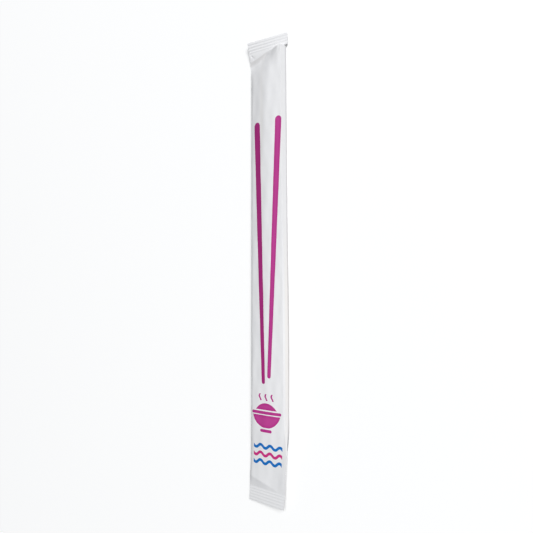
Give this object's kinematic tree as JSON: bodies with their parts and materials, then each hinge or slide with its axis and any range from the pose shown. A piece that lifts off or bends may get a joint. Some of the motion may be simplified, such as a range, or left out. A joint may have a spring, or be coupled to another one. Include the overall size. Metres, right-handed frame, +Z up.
{
  "type": "paper-wrapped pair of bamboo chopsticks",
  "caption": "Sealed white paper sleeve holding bamboo chopsticks, with ribbed end crimps, a fin seam folded flat down the back and a magenta print on the front.",
  "frame": {"origin": "under the middle of the sleeve, on the surface that it lies on", "axes": "+Y along the sleeve towards the butts of the sticks and the top crimp, +Z up out of the printed face, +X towards the side that the sticks lie against"},
  "size_m": [0.0266, 0.265, 0.0056],
  "materials": {
    "printed_paper": "smooth satin white wrapping paper with magenta and blue print"
  },
  "bodies": {
    "root": {"chopstick_sleeve": "printed_paper"}
  },
  "joints": []
}
